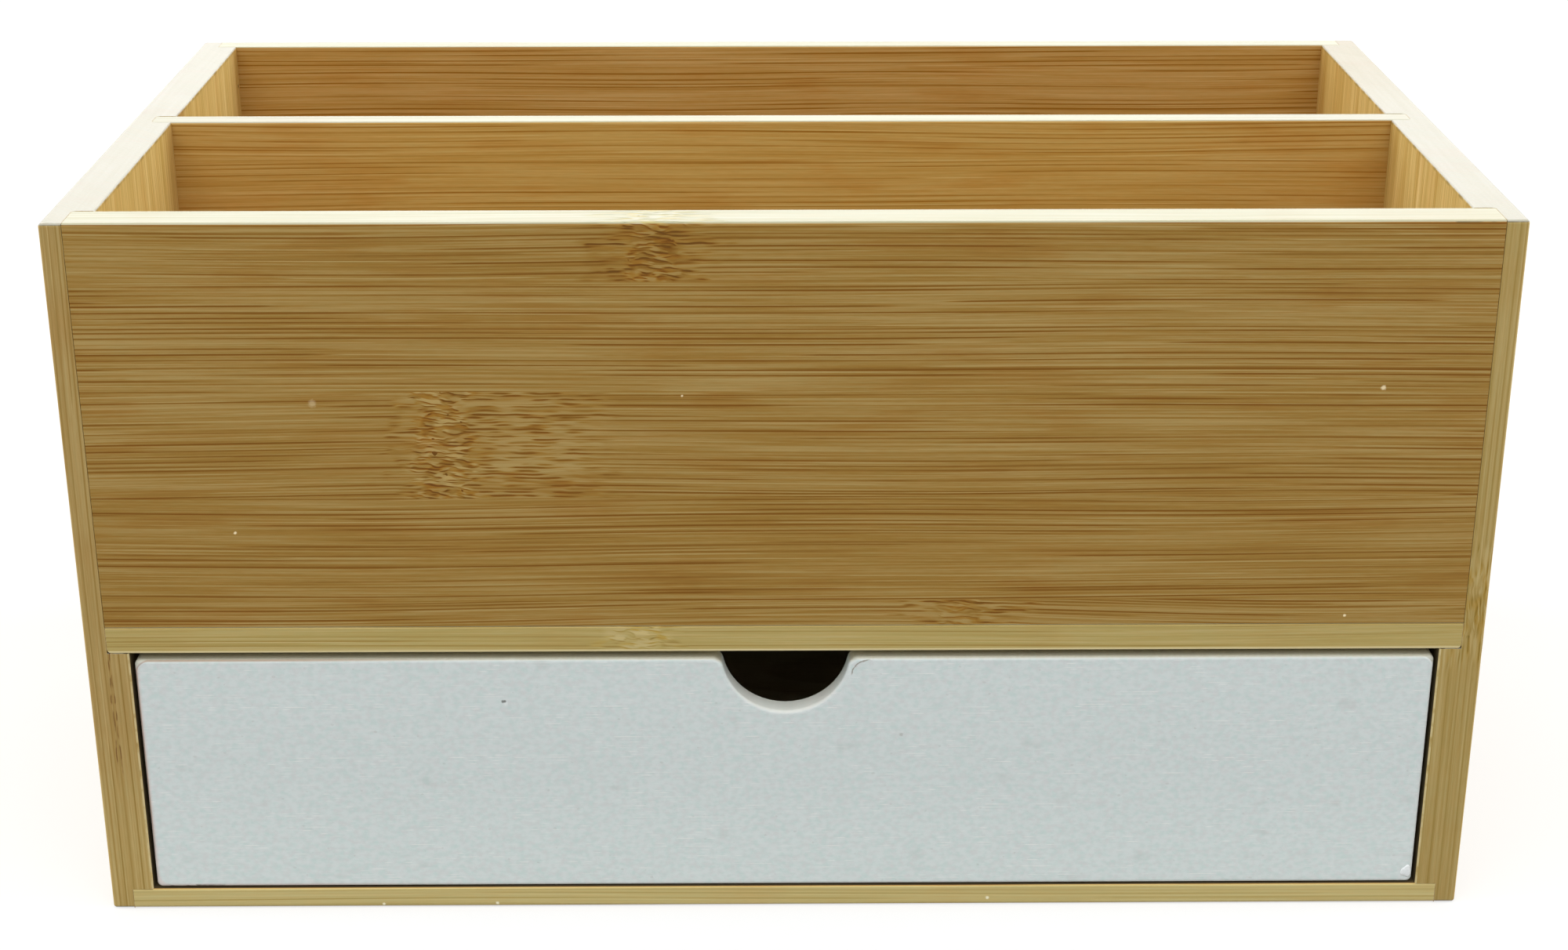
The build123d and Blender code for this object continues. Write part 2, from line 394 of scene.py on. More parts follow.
def add_knots(graph, knots, along, wide, across):
    """How the knots bend the fibres, how near their dashes and hearts are, and how brown they are."""
    ripple = graph.noise(along / 5, across / 2.2, 3.1, detail=1.0) - 0.5
    ragged = graph.random(graph.floor(across / 0.9) + 0.5)[0] - 0.5
    bend = 0.0
    near = 0.0
    heart = 0.0
    stain = 0.0
    for knot in knots:
        offset = along - knot.along
        side = graph.math("SIGN", offset)
        reach = knot.before + (side * 0.5 + 0.5) * (knot.after - knot.before)
        strip = graph.within(wide, knot.low, knot.high, 0.1)
        around = (1 - graph.smooth((abs(offset) + ripple * 14) / reach, 0.5, 1.1)) * strip
        frayed = abs(offset) + ripple * 4 + ragged * 2.6
        core = (1 - graph.smooth(frayed, knot.heart * 0.7, knot.heart)) * strip
        browned = 1 - graph.smooth(abs(offset) + ripple * 20, 2.0, 13.0)
        bend = bend + ripple * (core * 0.7 + around * 0.6)
        near = around + near
        heart = core * knot.flaky + heart
        stain = browned * strip * knot.stain + stain
    return bend, near, heart, stain


class Grain:
    """Where one board's fibres run, and the chance patterns that its strips, streaks and knots share."""

    def __init__(self, graph, grain, strips, thickness, seed, seam, knots):
        self.graph = graph
        self.seed = seed
        self.knots = knots
        self.along = graph.place[grain]
        self.wide = graph.place[strips]
        self.thick = graph.place[thickness]
        self.on_edge = graph.smooth(graph.facing[strips], 0.50, 0.75)
        self.sawn = graph.smooth(graph.facing[grain], 0.35, 0.60)

        # the strips
        place = (self.wide - seam) / STRIP_WIDTH
        strip = graph.floor(place)
        self.chance = graph.random(strip + seed)[0]
        self.seam = graph.smooth(abs(place - strip - 0.5), 0.5 - SEAM_WIDTH / STRIP_WIDTH, 0.5)
        shift = self.chance * 400 + seed * 31

        # the fibres
        self.path = self.along + shift
        across = self.wide + self.thick
        wander = (graph.noise(self.along / 110, self.wide / 40, shift, detail=0.0) - 0.5) * 3.0
        self.fibre = across + wander
        if knots:
            bend, self.near, self.heart, self.stain = add_knots(graph, knots, self.along, self.wide, across)
            self.fibre = self.fibre + bend
        self.bands = self.noise(60, 2.8, 5.0) - 0.5
        self.hairs = self.noise(34, 0.38, 7.0) - 0.5
        self.clouds = graph.noise(self.along / 26, self.wide / 5, shift + 9.0, detail=2.0)

    def noise(self, length, width, seed, detail=1.0):
        """Noise about 0.5, with bumps of this length along the fibres and this width across them."""
        return self.graph.noise(self.path / length, self.fibre / width, self.seed + seed, detail=detail)

    def streaks(self, pattern, seed):
        """Thin lines along these fibres."""
        return streaks(self.graph, self.path, self.fibre, self.seed + seed, **pattern)


def fibre_shade(wood, contrast, edge_contrast, banding):
    """How dark or pale each fibre is: 0 in the darkest streaks, 1 in the palest lines."""
    bold = wood.streaks(BOLD_STREAKS, 0.3)
    main = wood.streaks(MAIN_STREAKS, 1.7)
    pale = wood.streaks(PALE_LINES, 4.1)
    grit = wood.noise(2.6, 0.20, 11.0, detail=0.0) - 0.5
    lines = pale * 0.40 - bold * 0.42 - main * 0.76
    strength = (1 - wood.on_edge * (1 - edge_contrast)) * contrast
    broad = wood.bands * ((1 - wood.on_edge) * (banding - 1) + 1)
    fine = (wood.hairs * 0.90 + lines * (wood.chance * 0.4 + 0.8)) * strength
    return 0.69 + broad * 0.38 + fine + grit * 0.16


def broken_shade(wood):
    """The fibres' shade around a knot, where dashes and bars take the place of the streaks."""
    dashes = wood.streaks(KNOT_DASHES, 30.0)
    bars = wood.streaks(KNOT_BARS, 33.0)
    smudges = wood.graph.smooth(wood.noise(8, 0.9, 17.0), 0.47, 0.66)
    lines = dashes * 1.45 + bars * 0.75 + smudges * 0.28
    return 0.92 + wood.bands * 0.5 + wood.hairs * 0.9 - lines


def heart_shade(wood):
    """The shade of a knot's heart: cream flakes, painted shadows under them, brown stains and a few pits.
    """
    graph = wood.graph
    along = wood.along
    depth = wood.seed + 22.0
    slant = wood.fibre + along * 0.08
    flake = graph.smooth(graph.noise(along / 3.4, slant / 0.62, depth, detail=1.0), 0.46, 0.58)
    under = graph.smooth(graph.noise(along / 3.4, (slant + 0.22) / 0.62, depth, detail=1.0), 0.46, 0.58)
    strokes = streaks(graph, along, slant, depth, **HEART_STROKES)
    stains = graph.smooth(graph.noise(along / 4.5, wood.fibre / 2.4, depth + 1.0, detail=1.0), 0.50, 0.62)
    pits = graph.smooth(graph.noise(along / 1.5, wood.fibre / 1.4, depth + 2.0, detail=0.0), 0.79, 0.82)
    # painted shadow along one edge of each flake
    flake_shadows = under * (1 - flake)
    return 0.76 + flake * 0.44 - flake_shadows * 0.66 - strokes * 0.95 - stains * 0.36 - pits * 1.4


def board_shade(wood, contrast, edge_contrast, banding):
    """The shade of a whole board: fibres, strips, darker clouds, seams and knots."""
    graph = wood.graph
    value = fibre_shade(wood, contrast, edge_contrast, banding)
    if wood.knots:
        value = value + wood.near * (broken_shade(wood) - value) * 0.9
    value = value + (wood.chance - 0.5) * 0.08 - graph.smooth(wood.clouds, 0.54, 0.70) * 0.10
    value = value - wood.seam * 0.14
    value = graph.math("ADD", value, 0.0, clamp=True)
    if wood.knots:
        value = value + wood.heart * (heart_shade(wood) - value) - wood.stain
    return value


def end_shade(wood):
    """The shade of a sawn end: the cut fibre bundles show as fine dots in faint rows."""
    graph = wood.graph
    wide = wood.wide
    thick = wood.thick
    dots = graph.noise(wide / 0.5, thick / 0.4, wood.seed, detail=1.0) - 0.5
    rows = graph.noise(wide / 28, thick / 0.9, wood.seed + 2.0, detail=1.0) - 0.5
    patches = graph.noise(wide / 12, thick / 6, wood.seed + 4.0, detail=1.0) - 0.5
    return 0.60 + dots * 0.5 + rows * 0.5 + patches * 0.4


def bamboo_colour(wood, value, face, edge, end):
    """The tones of the board's face, edges and sawn ends, with a slow play of hues over them."""
    graph = wood.graph
    colour = graph.mix(wood.on_edge, graph.ramp(value, face), graph.ramp(value, edge))
    colour = graph.mix(wood.sawn, colour, graph.ramp(end_shade(wood), end))
    colour = graph.tint(graph.smooth(wood.clouds, 0.5, 0.72) * 0.5, colour, BLUSH)
    colour = graph.tint(graph.smooth(wood.noise(5, 0.5, 13.0), 0.3, 0.7), colour, COOL_TINGE)
    if wood.knots:
        amber = graph.noise(wood.along / 5, wood.fibre / 1.2, wood.seed + 19.0, detail=1.0)
        amber = graph.smooth(amber, 0.44, 0.60) * (wood.near * 0.5 + wood.heart * 0.5)
        colour = graph.tint(amber * (1 - graph.smooth(value, 0.50, 0.85)), colour, AMBER)
    return colour


def bamboo(name, grain, strips, thickness, seed, face, edge, end=TOP_TONE, seam=0.0, knots=(),
           contrast=1.0, edge_contrast=1.0, banding=1.0, marks=()):
    """Laminated bamboo: fibres run along the axis grain, in strips that lie side by side."""
    graph = Graph(name)
    wood = Grain(graph, grain, strips, thickness, seed, seam, knots)
    value = board_shade(wood, contrast, edge_contrast, banding)
    colour = bamboo_colour(wood, value, face, edge, end)
    for add_mark in marks:
        colour = add_mark(graph, colour)
    relief = value * 0.6 + wood.hairs * 0.5
    satin = 0.46 - value * 0.08 + wood.bands * 0.1
    return graph.finish(colour, satin, graph.bump(relief, 0.03, 0.3), ior=1.33)


# ---------------------------------------------------------------- marks on the wood

class Speck:
    """A small round spot on a surface, of dried paint or a dark pit."""

    def __init__(self, across, up, radius, strength=1.0):
        self.across = across
        self.up = up
        self.radius = radius
        self.strength = strength


def specks(spots, colour_of_spots, across="X", up="Z"):
    """Small uneven spots with soft edges, on a surface that the axes across and up span."""
    def add(graph, colour):
        x, y, z = graph.places()
        uneven = graph.noise(x / 0.3, y / 0.3, z / 0.3) * 0.8 + 0.6
        share = 0.0
        for spot in spots:
            away = graph.distance(graph.place[across] - spot.across, graph.place[up] - spot.up)
            spread = 1 - graph.smooth(away * uneven, spot.radius * 0.3, spot.radius)
            share = graph.most(share, spread * spot.strength)
        return graph.mix(share, colour, colour_of_spots)
    return add


def crack(across, low, high, seed):
    """A fine torn line of two strands that wanders up the front edge of a side board."""
    width = 0.20
    between = 0.42

    def add(graph, colour):
        along = graph.place["Z"]
        for strand, offset in ((seed, 0.0), (seed + 8.0, between)):
            wander = (graph.noise(along / 9, strand, detail=2.0) - 0.5) * 1.6
            open_here = graph.smooth(graph.noise(along / 3.4, strand + 3.0, detail=1.0), 0.40, 0.56)
            away = abs(graph.place["X"] + wander - across - offset)
            line = 1 - graph.smooth(away, 0.0, width * open_here + 0.02)
            share = line * open_here * graph.within(along, low, high, 3.0)
            colour = graph.mix(share * 0.8, colour, CRACK)
        return colour
    return add


def eased_arris_with_highlight(height):
    """The pale sanded arris along the lower edge of the shelf's front, made paler still as a painted
    highlight.
    """
    def add(graph, colour):
        arris = 1 - graph.smooth(graph.place["Z"] - height, 0.40, 0.62)
        # sanded arris and painted highlight
        return graph.mix(arris * 0.85, colour, EASED_ARRIS_HIGHLIGHT)
    return add


def raw_and_shaded_bay(low, high):
    """The drawer's bay: its boards are raw and grey inside, darkened there also as painted shade, with a
    darker painted shade in the mouth behind their arris.
    """
    def add(graph, colour):
        x, y, z = graph.places()
        flat = graph.smooth(graph.most(graph.facing["X"], graph.facing["Z"]), 0.93, 0.99)
        inside = flat * (1 - graph.smooth(abs(x), SIDE_INSIDE + 0.8, SIDE_INSIDE + 1.2))
        inside = inside * graph.within(z, low, high, 0.1)
        mouth = 1 - graph.smooth(y, CASE_FRONT + 4.0, CASE_FRONT + 10.0)
        # raw grey wood inside the bay, also darkened as painted shade, and painted shade in its mouth
        colour = graph.mix(inside * 0.7, colour, RAW_WOOD_AND_SHADE)
        return graph.mix(inside * mouth * 0.8, colour, MOUTH_SHADE)
    return add


def torn_arris(side):
    """Where the saw tore the fibres of a side board's inner arris: pale in the bay, dark along the rim."""
    def add(graph, colour):
        x, y, z = graph.places()
        inner = 1 - graph.smooth(x * side, SIDE_INSIDE + 1.4, SIDE_INSIDE + 1.8)
        pale_bits = graph.smooth(graph.noise(z / 2.7, 4.0, detail=3.0), 0.30, 0.55)
        slanted = graph.within(graph.facing["X"], 0.22, 0.92, 0.06)
        slanted = slanted * graph.within(graph.facing["Y"], 0.22, 0.96, 0.06)
        front = slanted * inner * graph.within(z, BAY_LOW, BAY_HIGH, 0.2)
        front = front * (1 - graph.smooth(y, CASE_FRONT + 1.0, CASE_FRONT + 1.2))
        dark_bits = graph.smooth(graph.noise(y / 3.1, side * 7.0, detail=3.0), 0.38, 0.66)
        rim = graph.within(graph.facing["X"], 0.78, 0.97, 0.08) * inner
        rim = rim * graph.smooth(z, CASE_TOP - 0.8, CASE_TOP - 0.5)
        colour = graph.mix(front * pale_bits * 0.7, colour, TORN_FIBRES)
        return graph.mix(rim * dark_bits * 0.7, colour, TORN_SHADOW)
    return add


def shaded_brow(low, high):
    """Painted shade along the front arris at the rim of the case, from one x to another."""
    def add(graph, colour):
        x, y, z = graph.places()
        bits = graph.smooth(graph.noise(x / 4.0, 9.0, detail=3.0), 0.34, 0.58)
        arris = graph.within(z, CASE_TOP - 0.34, CASE_TOP - 0.24, 0.08)
        arris = arris * (1 - graph.smooth(y, CASE_FRONT + 0.6, CASE_FRONT + 0.8))
        # painted shade along the arris, in broken bits
        return graph.mix(arris * bits * graph.within(x, low, high, 0.6) * 0.7, colour, BROW_SHADE)
    return add


def shaded_corners(factors):
    """Painted shade on a side's inner face, darker in the corners that the divider and the back make with
    it.
    """
    reach = 11.0
    divider_front, divider_back = (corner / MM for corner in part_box("divider"))
    places = (divider_front.y, divider_back.y, (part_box("back_panel")[0] / MM).y)

    def add(graph, colour):
        near = 0.0
        for place in places:
            near = graph.most(near, 1 - graph.smooth(abs(graph.place["Y"] - place), 0.0, reach))
        inner = 1 - graph.smooth(abs(graph.place["X"]), SIDE_INSIDE + 0.1, SIDE_INSIDE + 0.4)
        return graph.tint(near * inner, colour, factors)
    return add


def toned(axis, start, stop, factors):
    """A slow change of colour along an axis: a paler foot on the left side, a browner back on the right
    side, painted shade at the divider's ends and painted light at the drawer front's foot.
    """
    def add(graph, colour):
        return graph.tint(graph.smooth(graph.place[axis], start, stop), colour, factors)
    return add


# ---------------------------------------------------------------- paint, glue and ply

def mottled_paint(graph, foot, seed):
    """The paint's colour with its clouds, fibres, pinholes and a painted light at its foot, its brush marks
    alone, and its relief.
    """
    x, y, z = graph.places()
    warm = graph.smooth(graph.noise(x / 1.5, z / 1.3, seed, detail=3.0), 0.34, 0.66)
    clouds = graph.noise(x / 1.2, z / 0.9, y / 3 + seed + 8.0, detail=3.0)
    brush = graph.noise(x / 7, z / 0.45, y / 3 + seed, detail=2.0)
    rough = graph.smooth(graph.noise(x / 10, z / 4, seed + 2.0, detail=1.0), 0.46, 0.60)
    fibres = streaks(graph, x, z + y, seed, **PAINTED_FIBRES) * rough
    pinholes = graph.smooth(graph.noise(x / 1.1, z / 0.8, seed + 5.0, detail=0.0), 0.79, 0.86)
    smudges = graph.smooth(graph.noise(x / 7, z / 4, seed + 9.0, detail=1.0), 0.64, 0.80)
    colour = graph.mix(warm, PAINT_COOL, PAINT_WARM)
    colour = graph.mix(graph.smooth(clouds, 0.32, 0.68) * 0.75, colour, PAINT_CLOUD)
    colour = graph.mix(graph.smooth(brush, 0.32, 0.68) * 0.14, colour, PAINT_BRUSHED)
    colour = graph.mix(fibres * 0.85, colour, PAINT_FIBRE)
    colour = graph.mix(graph.most(pinholes * 0.22, smudges * 0.16), colour, PAINT_SMUDGE)
    # painted light, lighter towards the foot of the drawer front
    colour = toned("Z", foot + 27.7, foot + 1.7, PAINT_FOOT_LIGHT)(graph, colour)
    return colour, brush, brush * 0.5 + fibres * 0.8 - pinholes * 0.6


class PaintedFace:
    """Where a point lies on the drawer front: how far inside its arris, on its face, top or notch wall."""

    def __init__(self, graph):
        x, y, z = graph.places()
        low, high = (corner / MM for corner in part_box("drawer_front"))
        middle = (low + high) / 2
        half = (high - low) / 2
        corner = PAINT_INSET + PAINT_RADIUS
        beside = graph.most(abs(x - middle.x) - (half.x - corner), 0.0)
        above = graph.most(abs(z - middle.z) - (half.z - corner), 0.0)
        self.inside = PAINT_RADIUS - graph.distance(beside, above)
        self.left = x - low.x
        self.up = z - low.z
        self.front = 1 - graph.smooth(y, low.y + 1.3, low.y + 1.8)
        self.top = graph.smooth(z, high.z - 2.0, high.z - 1.0)
        self.above_foot = graph.smooth(self.up, 15.7, 19.7)
        self.upwards = graph.smooth(graph.facing["Z"], 0.25, 0.8) * self.above_foot
        self.bare = 1 - graph.smooth(self.left, 24.5, 66.5)


def worn_and_shaded_top(graph, face, colour):
    """The board shows through the paint on its worn top, which is darkened also as painted shade under the
    shelf; the notch has a paler wall and painted shade on its rim.
    """
    x, y, z = graph.places()
    fuzz = graph.noise(x / 0.6, y / 0.35, z / 0.6, detail=2.0)
    worn_and_shaded = face.upwards * face.top * (fuzz * 0.5 + 0.45)
    outside = (1 - graph.smooth(face.inside, -0.08, 0.04)) * face.front * face.top * 0.6
    rim = graph.within(graph.facing["Z"], 0.20, 0.80, 0.15) * face.above_foot * (1 - face.top)
    # the worn top and its rounded arris, darkened also as painted shade
    colour = graph.mix(graph.most(worn_and_shaded, outside), colour, PAINT_WORN_AND_SHADED)
    colour = graph.mix(face.upwards * (1 - face.top) * (fuzz * 0.6 + 0.4), colour, PAINT_NOTCH)
    # painted shade on the notch's rim
    return graph.tint(rim, colour, PAINT_RIM_SHADE)


def split_corner(graph, colour):
    """A hairline in the paint that follows the rounded corner on the right of the notch."""
    right = graph.place["X"] - SPLIT_CENTRE[0]
    up = graph.place["Z"] - SPLIT_CENTRE[1]
    wobble = (graph.noise(right / 0.8, up / 0.8, 5.0, detail=2.0) - 0.5) * 0.5
    off = abs(graph.distance(right, up) + wobble - SPLIT_RADIUS)
    line = (1 - graph.smooth(off, 0.04, 0.19)) * (1 - graph.smooth(right, -0.6, 0.8))
    return graph.mix(line * graph.smooth(up, -0.2, 0.6) * 0.8, colour, PAINT_SPLIT)


def thin_arris(graph, face, colour):
    """Paint that is thin along the left of the arris, a painted highlight along the rest of it, and chipped
    at the foot.
    """
    x, y, z = graph.places()
    line = graph.within(face.inside, 0.04, 0.22, 0.10) * face.front
    thin = (1 - graph.smooth(face.inside, 0.2, 0.9)) * face.bare * (1 - face.top)
    patches = graph.smooth(graph.noise(x / 1.8, z / 1.8, y / 1.8, detail=1.0), 0.42, 0.62)
    chipped = (1 - graph.smooth(face.up, 0.3, 0.8)) * patches * (1 - graph.smooth(face.left, 6.5, 16.5))
    colour = graph.mix(thin * 0.40, colour, PAINT_THIN)
    colour = graph.mix(line * face.bare * graph.smooth(face.up, 3.7, 15.7) * 0.65, colour, PAINT_BARE)
    # painted highlight along the arris, right of its thin left part
    colour = graph.mix(line * (1 - face.bare) * (1 - face.upwards) * 0.6, colour, PAINT_ARRIS_HIGHLIGHT)
    return graph.mix(chipped * 0.8, colour, PAINT_CHIPPED)


def paint(name, seed):
    """Thin off-white paint, through which the board's grain still shows as a faint relief."""
    graph = Graph(name)
    face = PaintedFace(graph)
    foot = (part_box("drawer_front")[0] / MM).z
    colour, brush, relief = mottled_paint(graph, foot, seed)
    colour = worn_and_shaded_top(graph, face, colour)
    colour = split_corner(graph, colour)
    colour = thin_arris(graph, face, colour)
    pit = (Speck(-50.9, 42.5, 0.42, 0.8), Speck(-50.6, 42.55, 0.40, 0.8))
    colour = specks((Speck(-50.4, 42.1, 0.55, 0.7),), PIT_LIP)(graph, colour)
    colour = specks(pit, PIT)(graph, colour)
    colour = specks((Speck(21.0, 35.5, 0.50),), DOT)(graph, colour)
    return graph.finish(colour, brush * 0.1 + 0.42, graph.bump(relief, 0.04, 0.3), ior=1.45)


def wet_paint(name, seed):
    """A drop of the same paint, thick enough to be white and glossy."""
    graph = Graph(name)
    x, y, z = graph.places()
    cloud = graph.noise(x / 0.7, z / 0.7, y / 0.7 + seed, detail=2.0)
    colour = graph.mix(cloud, DROP_DARK, DROP_PALE)
    return graph.finish(colour, cloud * 0.1 + 0.22, graph.bump(cloud, 0.04, 0.4), ior=1.5)


def dried_glue(name, seed):
    """Wood glue with sanding dust in it, a little browner than the boards."""
    graph = Graph(name)
    x, y, z = graph.places()
    dust = graph.noise(x / 0.8, y / 0.8 + seed, z / 0.8, detail=2.0)
    colour = graph.mix(graph.smooth(dust, 0.3, 0.7), GLUE_DARK, GLUE_PALE)
    return graph.finish(colour, dust * 0.1 + 0.5, graph.bump(dust, 0.03, 0.4), ior=1.45)


def ply(name, seed):
    """Pale bare plywood with the broad figure of a peeled veneer."""
    graph = Graph(name)
    x, y, z = graph.places()
    flow = graph.noise(x / 170, y / 38, seed, detail=1.0)
    rings = graph.math("FRACT", flow * 11.0 + y / 60)
    figure = graph.smooth(rings, 0.0, 0.80) - graph.smooth(rings, 0.88, 1.0)
    fibres = graph.noise(x / 9, y / 0.35, z + seed, detail=2.0) - 0.5
    pores = streaks(graph, x, y, seed, **PLY_PORES)
    value = 0.72 - figure * 0.24 + fibres * 0.45 - pores * 0.35
    relief = graph.bump(fibres - pores * 0.6, 0.05, 0.4)
    return graph.finish(graph.ramp(value, PLY_TONE), fibres * 0.1 + 0.55, relief, ior=1.4)


# ---------------------------------------------------------------- dressing the frame

PANEL = dict(grain="X", strips="Z", thickness="Y", edge=TOP_TONE)
SIDE = dict(grain="Z", strips="Y", thickness="X", face=SIDE_TONE, end=SIDE_TOP_TONE, seam=4.0,
            contrast=0.72, edge_contrast=0.9, banding=2.6)
FLAT = dict(grain="X", strips="Y", thickness="Z", face=DIVIDER_TONE)
WALL = dict(strips="Z", face=DRAWER_TONE, edge=DRAWER_EDGE_TONE, contrast=0.8)


def dress(node, material):
    """Gives a CAD node one material."""
    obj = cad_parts[node]
    if not obj.material_slots:
        obj.data.materials.append(material)
    for slot in obj.material_slots:
        slot.material = material


def dress_board(node, **looks):
    """Gives a CAD node bamboo of its own name."""
    dress(node, bamboo(node, **looks))


def dress_panels():
    """The front, the divider and the back, with their grain from left to right."""
    front_knots = (
        Knot(-22.5, 121.7, 133.0, 9.0, 12.0, heart=4.8, flaky=0.9, stain=0.34),
        Knot(-59.2, 82.2, 101.95, 9.0, 31.0, stain=0.08),
        Knot(31.0, 56.0, 62.45, 12.0, 14.0, heart=4.5, flaky=0.55, stain=0.15),
    )
    flecks = (
        Speck(-96.4, 75.8, 0.36), Speck(-17.8, 101.1, 0.28, 0.8), Speck(102.8, 102.2, 0.58, 0.85),
        Speck(99.6, 59.1, 0.36), Speck(-81.3, 99.9, 0.95, 0.28),
    )
    # painted shade: the divider darker towards its ends, where it meets the sides
    shaded_ends = [toned("X", side * 60.0, side * 105.0, SHADED_ENDS) for side in (-1, 1)]
    dress_board("front_panel", seed=1.0, face=FRONT_TONE, seam=3.2, knots=front_knots, contrast=1.12,
                marks=[specks(flecks, FLECK), shaded_brow(112.8, 119.0)], **PANEL)
    dress_board("divider", seed=2.0, face=DIVIDER_TONE, seam=6.0, contrast=0.75, marks=shaded_ends, **PANEL)
    dress_board("back_panel", seed=3.0, face=BACK_TONE, seam=9.0, contrast=0.95,
                knots=[Knot(64.0, 48.5, 68.25, 18.0, 16.0)], **PANEL)


def dress_sides():
    """The two sides, with their grain upright."""
    left_knots = (Knot(36.0, -35.5, -15.75, 26.0, 20.0), Knot(74.0, 23.75, 43.5, 20.0, 26.0, stain=0.1))
    right_knots = (
        Knot(61.0, -71.0, -64.0, 13.0, 14.0, heart=7.0, flaky=0.35, stain=0.15),
        Knot(48.0, -15.75, 4.0, 20.0, 24.0),
        Knot(22.0, 43.5, 63.25, 22.0, 18.0, stain=0.1),
    )
    left_marks = [
        toned("Z", 44.0, 4.0, PALE_FOOT), crack(-121.1, 30.0, 52.0, 4.0), raw_and_shaded_bay(BAY_LOW, BAY_HIGH),
        shaded_corners(LEFT_CORNER_SHADE), torn_arris(-1), shaded_brow(-124.6, -121.0),
        specks([Speck(63.8, 123.7, 0.58)], PINHOLE, "Y", "Z"),
    ]
    right_marks = [
        toned("Y", 0.0, 45.0, WORN_SIDE), raw_and_shaded_bay(BAY_LOW, BAY_HIGH), torn_arris(1),
        shaded_corners(RIGHT_CORNER_SHADE), shaded_brow(118.0, 124.6),
    ]
    dress_board("left_side", seed=4.0, edge=LEFT_EDGE_TONE, knots=left_knots, marks=left_marks, **SIDE)
    dress_board("right_side", seed=5.0, edge=RIGHT_EDGE_TONE, knots=right_knots, marks=right_marks, **SIDE)


def dress_floors():
    """The shelf and the base, which lie flat."""
    flecks = (Speck(-74.7, 0.6, 0.42), Speck(-53.6, 0.7, 0.42), Speck(37.6, 1.4, 0.45))
    dress_board("shelf", seed=6.0, edge=SHELF_EDGE_TONE, seam=-50.0, marks=[eased_arris_with_highlight(BAY_HIGH)],
                knots=[Knot(-26.0, -71.0, -50.0, 8.0, 8.0, flaky=0.7)], **FLAT)
    dress_board("base", seed=7.0, edge=BASE_EDGE_TONE,
                marks=[specks(flecks, BASE_FLECK), raw_and_shaded_bay(BAY_LOW - 0.2, BAY_HIGH)], **FLAT)


def dress_drawer():
    dress("drawer_front", paint("drawer_paint", 11.0))
    dress_board("drawer_left_side", grain="Y", thickness="X", seed=12.0, **WALL)
    dress_board("drawer_right_side", grain="Y", thickness="X", seed=13.0, **WALL)
    dress_board("drawer_back", grain="X", thickness="Y", seed=14.0, **WALL)
    dress("drawer_bottom", ply("drawer_ply", 15.0))


# ---------------------------------------------------------------- glue and a drop of paint

def place_piece(name, mesh, material):
    """Turns a bmesh into an object of the scene."""
    bmesh.ops.recalc_face_normals(mesh, faces=mesh.faces)
    data = bpy.data.meshes.new(name)
    mesh.to_mesh(data)
    mesh.free()
    data.materials.append(material)
    piece = bpy.data.objects.new(name, data)
    bpy.context.scene.collection.objects.link(piece)
    return piece


def fill_gap(mesh, end, to_world):
    """A thin wall of glue behind the line end, which follows a board's end from one arris to the other."""
    rows = []
    for across, along, share in end:
        near = across + share * GLUE_GAP
        rows.append([mesh.verts.new(to_world(edge, along, inwards) * MM)
                     for edge in (across, near) for inwards in (GLUE_SUNK, GLUE_DEPTH)])
    for first, second in zip(rows, rows[1:]):
        for a, b in ((0, 1), (1, 3), (3, 2), (2, 0)):
            mesh.faces.new((first[a], first[b], second[b], second[a]))
    for row in (rows[0], rows[-1]):
        mesh.faces.new((row[0], row[1], row[3], row[2]))


def rounded_corner():
    """A board end's rounded corner: places along x, offsets from where it starts, and shares of the gap."""
    steps = 5
    stop = 85            # degrees, where the gap closes
    turns = [math.radians(stop * step / steps) for step in range(steps + 1)]
    heel = BOARD_END - JOINT_CORNER
    return [(heel + math.cos(turn) * JOINT_CORNER, math.sin(turn) * JOINT_CORNER, math.cos(turn))
            for turn in turns]


def straight_end(low, high):
    """The flat end of a board, from one place across it to another."""
    return [(BOARD_END, low, 1.0), (BOARD_END, high, 1.0)]


def rising_corner(place):
    """A rounded corner that leaves the flat end at this place, upwards or to the back."""
    return [(x, place + offset, share) for x, offset, share in rounded_corner()]


def falling_corner(place):
    """A rounded corner that meets the flat end at this place, from below or from the front."""
    return [(x, place - offset, share) for x, offset, share in reversed(rounded_corner())]


def glue_on_top():
    """Lines of glue on the rim, at the ends of the front, the divider and the back."""
    panel, divider, back = (
        [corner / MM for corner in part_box(node)] for node in ("front_panel", "divider", "back_panel"))
    panel_corner = panel[1].y - JOINT_CORNER
    return (
        straight_end(panel[0].y + ARRIS, panel_corner) + rising_corner(panel_corner)[1:],
        falling_corner(divider[0].y + JOINT_CORNER) + rising_corner(divider[1].y - JOINT_CORNER),
        straight_end(back[0].y, back[1].y - ARRIS),
    )


def glue_in_front():
    """Lines of glue on the front, at the ends of the shelf and the base."""
    arris = 0.05
    shelf, base = ([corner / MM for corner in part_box(node)] for node in ("shelf", "base"))
    shelf_corner = shelf[0].z + JOINT_CORNER
    return (
        falling_corner(shelf_corner) + straight_end(shelf_corner, shelf[1].z)[1:],
        straight_end(base[0].z + arris, base[1].z - arris),
    )


def add_glue():
    """Glue that fills the fine gap at the ends of the boards that are let into the sides."""
    panel_low, panel_high = (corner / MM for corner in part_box("front_panel"))
    rim = panel_high.z
    face = panel_low.y
    mesh = bmesh.new()
    for side in (-1, 1):
        for line in glue_on_top():
            fill_gap(mesh, line, lambda x, y, inwards: Vector((side * x, y, rim - inwards)))
        for line in glue_in_front():
            fill_gap(mesh, line, lambda x, z, inwards: Vector((side * x, face + inwards, z)))
    glue = place_piece("glue_lines", mesh, dried_glue("glue_lines", 17.0))
    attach(glue, "case")


